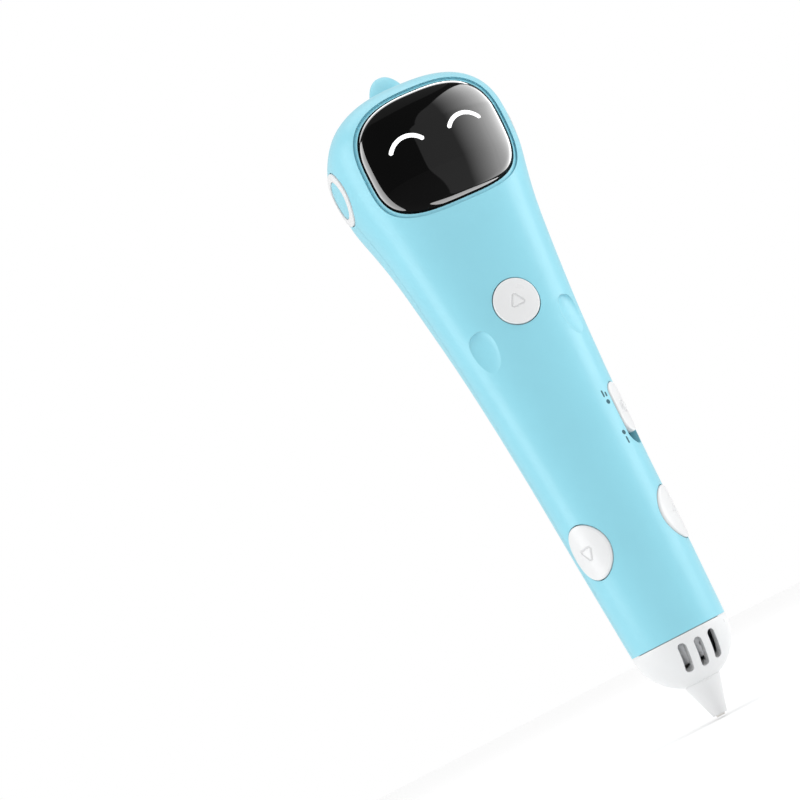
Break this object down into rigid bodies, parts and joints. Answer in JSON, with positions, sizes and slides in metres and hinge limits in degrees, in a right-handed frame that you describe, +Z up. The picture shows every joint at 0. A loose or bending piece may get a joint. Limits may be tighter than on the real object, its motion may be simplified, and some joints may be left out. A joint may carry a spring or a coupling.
{
  "type": "three d pen",
  "caption": "Kids' 3D printing pen with a tapered pastel blue barrel, smiling black face window on a wide head, white push buttons, mode slider and vented white nose with cone tip.",
  "frame": {"origin": "centre of the nozzle's flat tip", "axes": "+Z up the barrel from tip to head, -Y is the face side, +X is to the right of someone looking at the face"},
  "size_m": [0.051, 0.0424, 0.1888],
  "materials": {
    "case_blue": "smooth gloss, pastel blue",
    "white_plastic": "smooth gloss, white",
    "lens_black": "polished, black",
    "eye_white": "smooth, white",
    "slot_teal": "satin, dark teal",
    "nozzle_ceramic": "fine matte, off white",
    "black_plastic": "moulded, black",
    "grey_plastic": "moulded, grey",
    "board_green": "solder mask, green",
    "steel": "turned",
    "alu": "machined",
    "brass": "turned",
    "tube_white": "waxy, translucent white",
    "cell_silver": "foil pouch, silver",
    "filament_yellow": "extruded, yellow"
  },
  "bodies": {
    "case": {"front_shell": "case_blue", "back_shell": "case_blue", "crest_fin": "case_blue", "ear_cap_left": "case_blue", "ear_cap_right": "case_blue", "ear_ring_left": "white_plastic", "ear_ring_right": "white_plastic", "face_lens": "lens_black", "eye_light_left": "eye_white", "eye_light_right": "eye_white", "face_board": "board_green", "nose_housing": "white_plastic", "nozzle_shroud": "white_plastic", "nozzle": "nozzle_ceramic", "heater_block": "alu", "thermistor": "steel", "heat_break": "steel", "heat_break_holder": "black_plastic", "feed_tube": "tube_white", "inlet_tube": "tube_white", "filament_guide": "white_plastic", "filament_rod": "filament_yellow", "slider_bed": "slot_teal", "slide_switch": "black_plastic", "slide_board": "board_green", "feed_switch": "black_plastic", "retract_switch": "black_plastic", "plus_switch": "black_plastic", "retract_board": "board_green", "plus_board": "board_green", "main_board": "board_green", "control_chip": "black_plastic", "battery": "cell_silver", "usb_board": "board_green", "usb_port": "steel", "case_screws": "steel", "drive_frame": "grey_plastic", "motor_gearbox": "brass", "gear_motor": "steel", "idler_pivot": "steel", "idler_spring": "steel"},
    "feed_button": {"feed_button": "white_plastic", "feed_plunger": "black_plastic"},
    "retract_button": {"retract_button": "white_plastic", "retract_plunger": "black_plastic"},
    "plus_button": {"plus_button": "white_plastic", "plus_plunger": "black_plastic"},
    "mode_slider": {"mode_slider": "white_plastic"},
    "drive_shaft": {"drive_axle": "steel", "drive_roller": "steel", "drive_gear": "white_plastic"},
    "motor_rotor": {"motor_shaft": "steel", "motor_pinion": "brass"},
    "idler_arm": {"idler_arm": "grey_plastic"},
    "idler_wheel": {"idler_wheel": "steel"}
  },
  "joints": [
    {"name": "feed_button_press", "type": "slide", "parent": "case", "child": "feed_button", "axis": [0, 1, 0], "range_m": [0, 0.0005], "stiffness_N_per_m": 2000},
    {"name": "retract_button_press", "type": "slide", "parent": "case", "child": "retract_button", "axis": [0.866, 0.5, 0], "range_m": [0, 0.0005], "stiffness_N_per_m": 2000},
    {"name": "plus_button_press", "type": "slide", "parent": "case", "child": "plus_button", "axis": [-0.866, 0.5, 0], "range_m": [0, 0.0005], "stiffness_N_per_m": 2000},
    {"name": "mode_slider_slide", "type": "slide", "parent": "case", "child": "mode_slider", "axis": [0, 0, -1], "range_m": [0, 0.0032]},
    {"name": "drive_spin", "type": "hinge", "parent": "case", "child": "drive_shaft", "pos_m": [0, 0.00445, 0.133], "axis": [1, 0, 0], "continuous": true},
    {"name": "motor_spin", "type": "hinge", "parent": "case", "child": "motor_rotor", "pos_m": [0, 0.0074, 0.1432], "axis": [1, 0, 0], "continuous": true},
    {"name": "idler_swing", "type": "hinge", "parent": "case", "child": "idler_arm", "pos_m": [0, -0.0065, 0.1275], "axis": [1, 0, 0], "range_deg": [0, 8], "stiffness_Nm_per_rad": 0.05, "deforming": ["idler_spring"]},
    {"name": "idler_spin", "type": "hinge", "parent": "idler_arm", "child": "idler_wheel", "pos_m": [0, -0.00445, 0.133], "axis": [1, 0, 0], "continuous": true}
  ],
  "couplings": [
    {"joint": "motor_spin", "follows": "drive_spin", "ratio": -2},
    {"joint": "idler_spin", "follows": "drive_spin", "ratio": -1}
  ]
}
